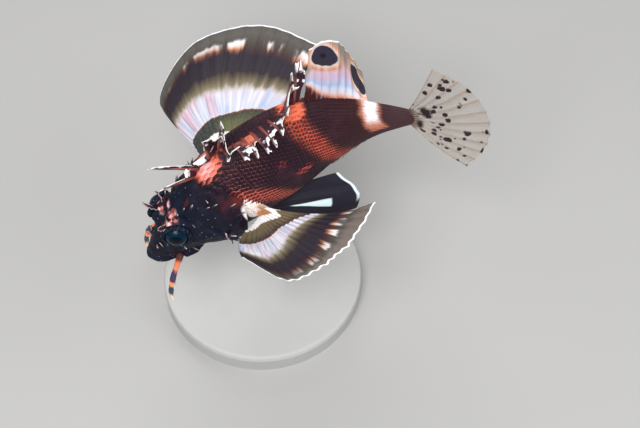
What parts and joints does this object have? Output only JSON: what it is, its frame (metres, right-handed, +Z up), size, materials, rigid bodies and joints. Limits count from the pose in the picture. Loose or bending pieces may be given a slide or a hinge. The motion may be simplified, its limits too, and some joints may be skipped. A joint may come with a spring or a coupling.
{
  "type": "twinspot lionfish on a display stand",
  "caption": "Life-size still model of a small twinspot lionfish, fins spread and head low, held by one short rod on a round base.",
  "frame": {"origin": "centre of the underside of the stand's round base", "axes": "+Z up from the floor, -X the way the fish's trunk faces, -Y the fish's left side"},
  "size_m": [0.0907, 0.0845, 0.092],
  "materials": {
    "skin": "satin",
    "fin": "satin",
    "eye": "gloss",
    "stand_base": "satin",
    "stand_rod": "brushed"
  },
  "bodies": {
    "root": {"head": "skin", "torso": "skin", "tail": "skin", "eye_left": "eye", "eye_right": "eye", "tentacle_left": "skin", "tentacle_right": "skin", "dorsal_fin_soft": "fin", "anal_fin": "fin", "caudal_fin": "fin", "pectoral_fin_left": "fin", "pectoral_fin_right": "fin", "pelvic_fin_left": "fin", "pelvic_fin_right": "fin", "stand_base": "stand_base", "stand_rod": "stand_rod", "dorsal_fin_front": "fin", "dorsal_fin_middle": "fin", "dorsal_fin_rear": "fin"}
  },
  "joints": []
}
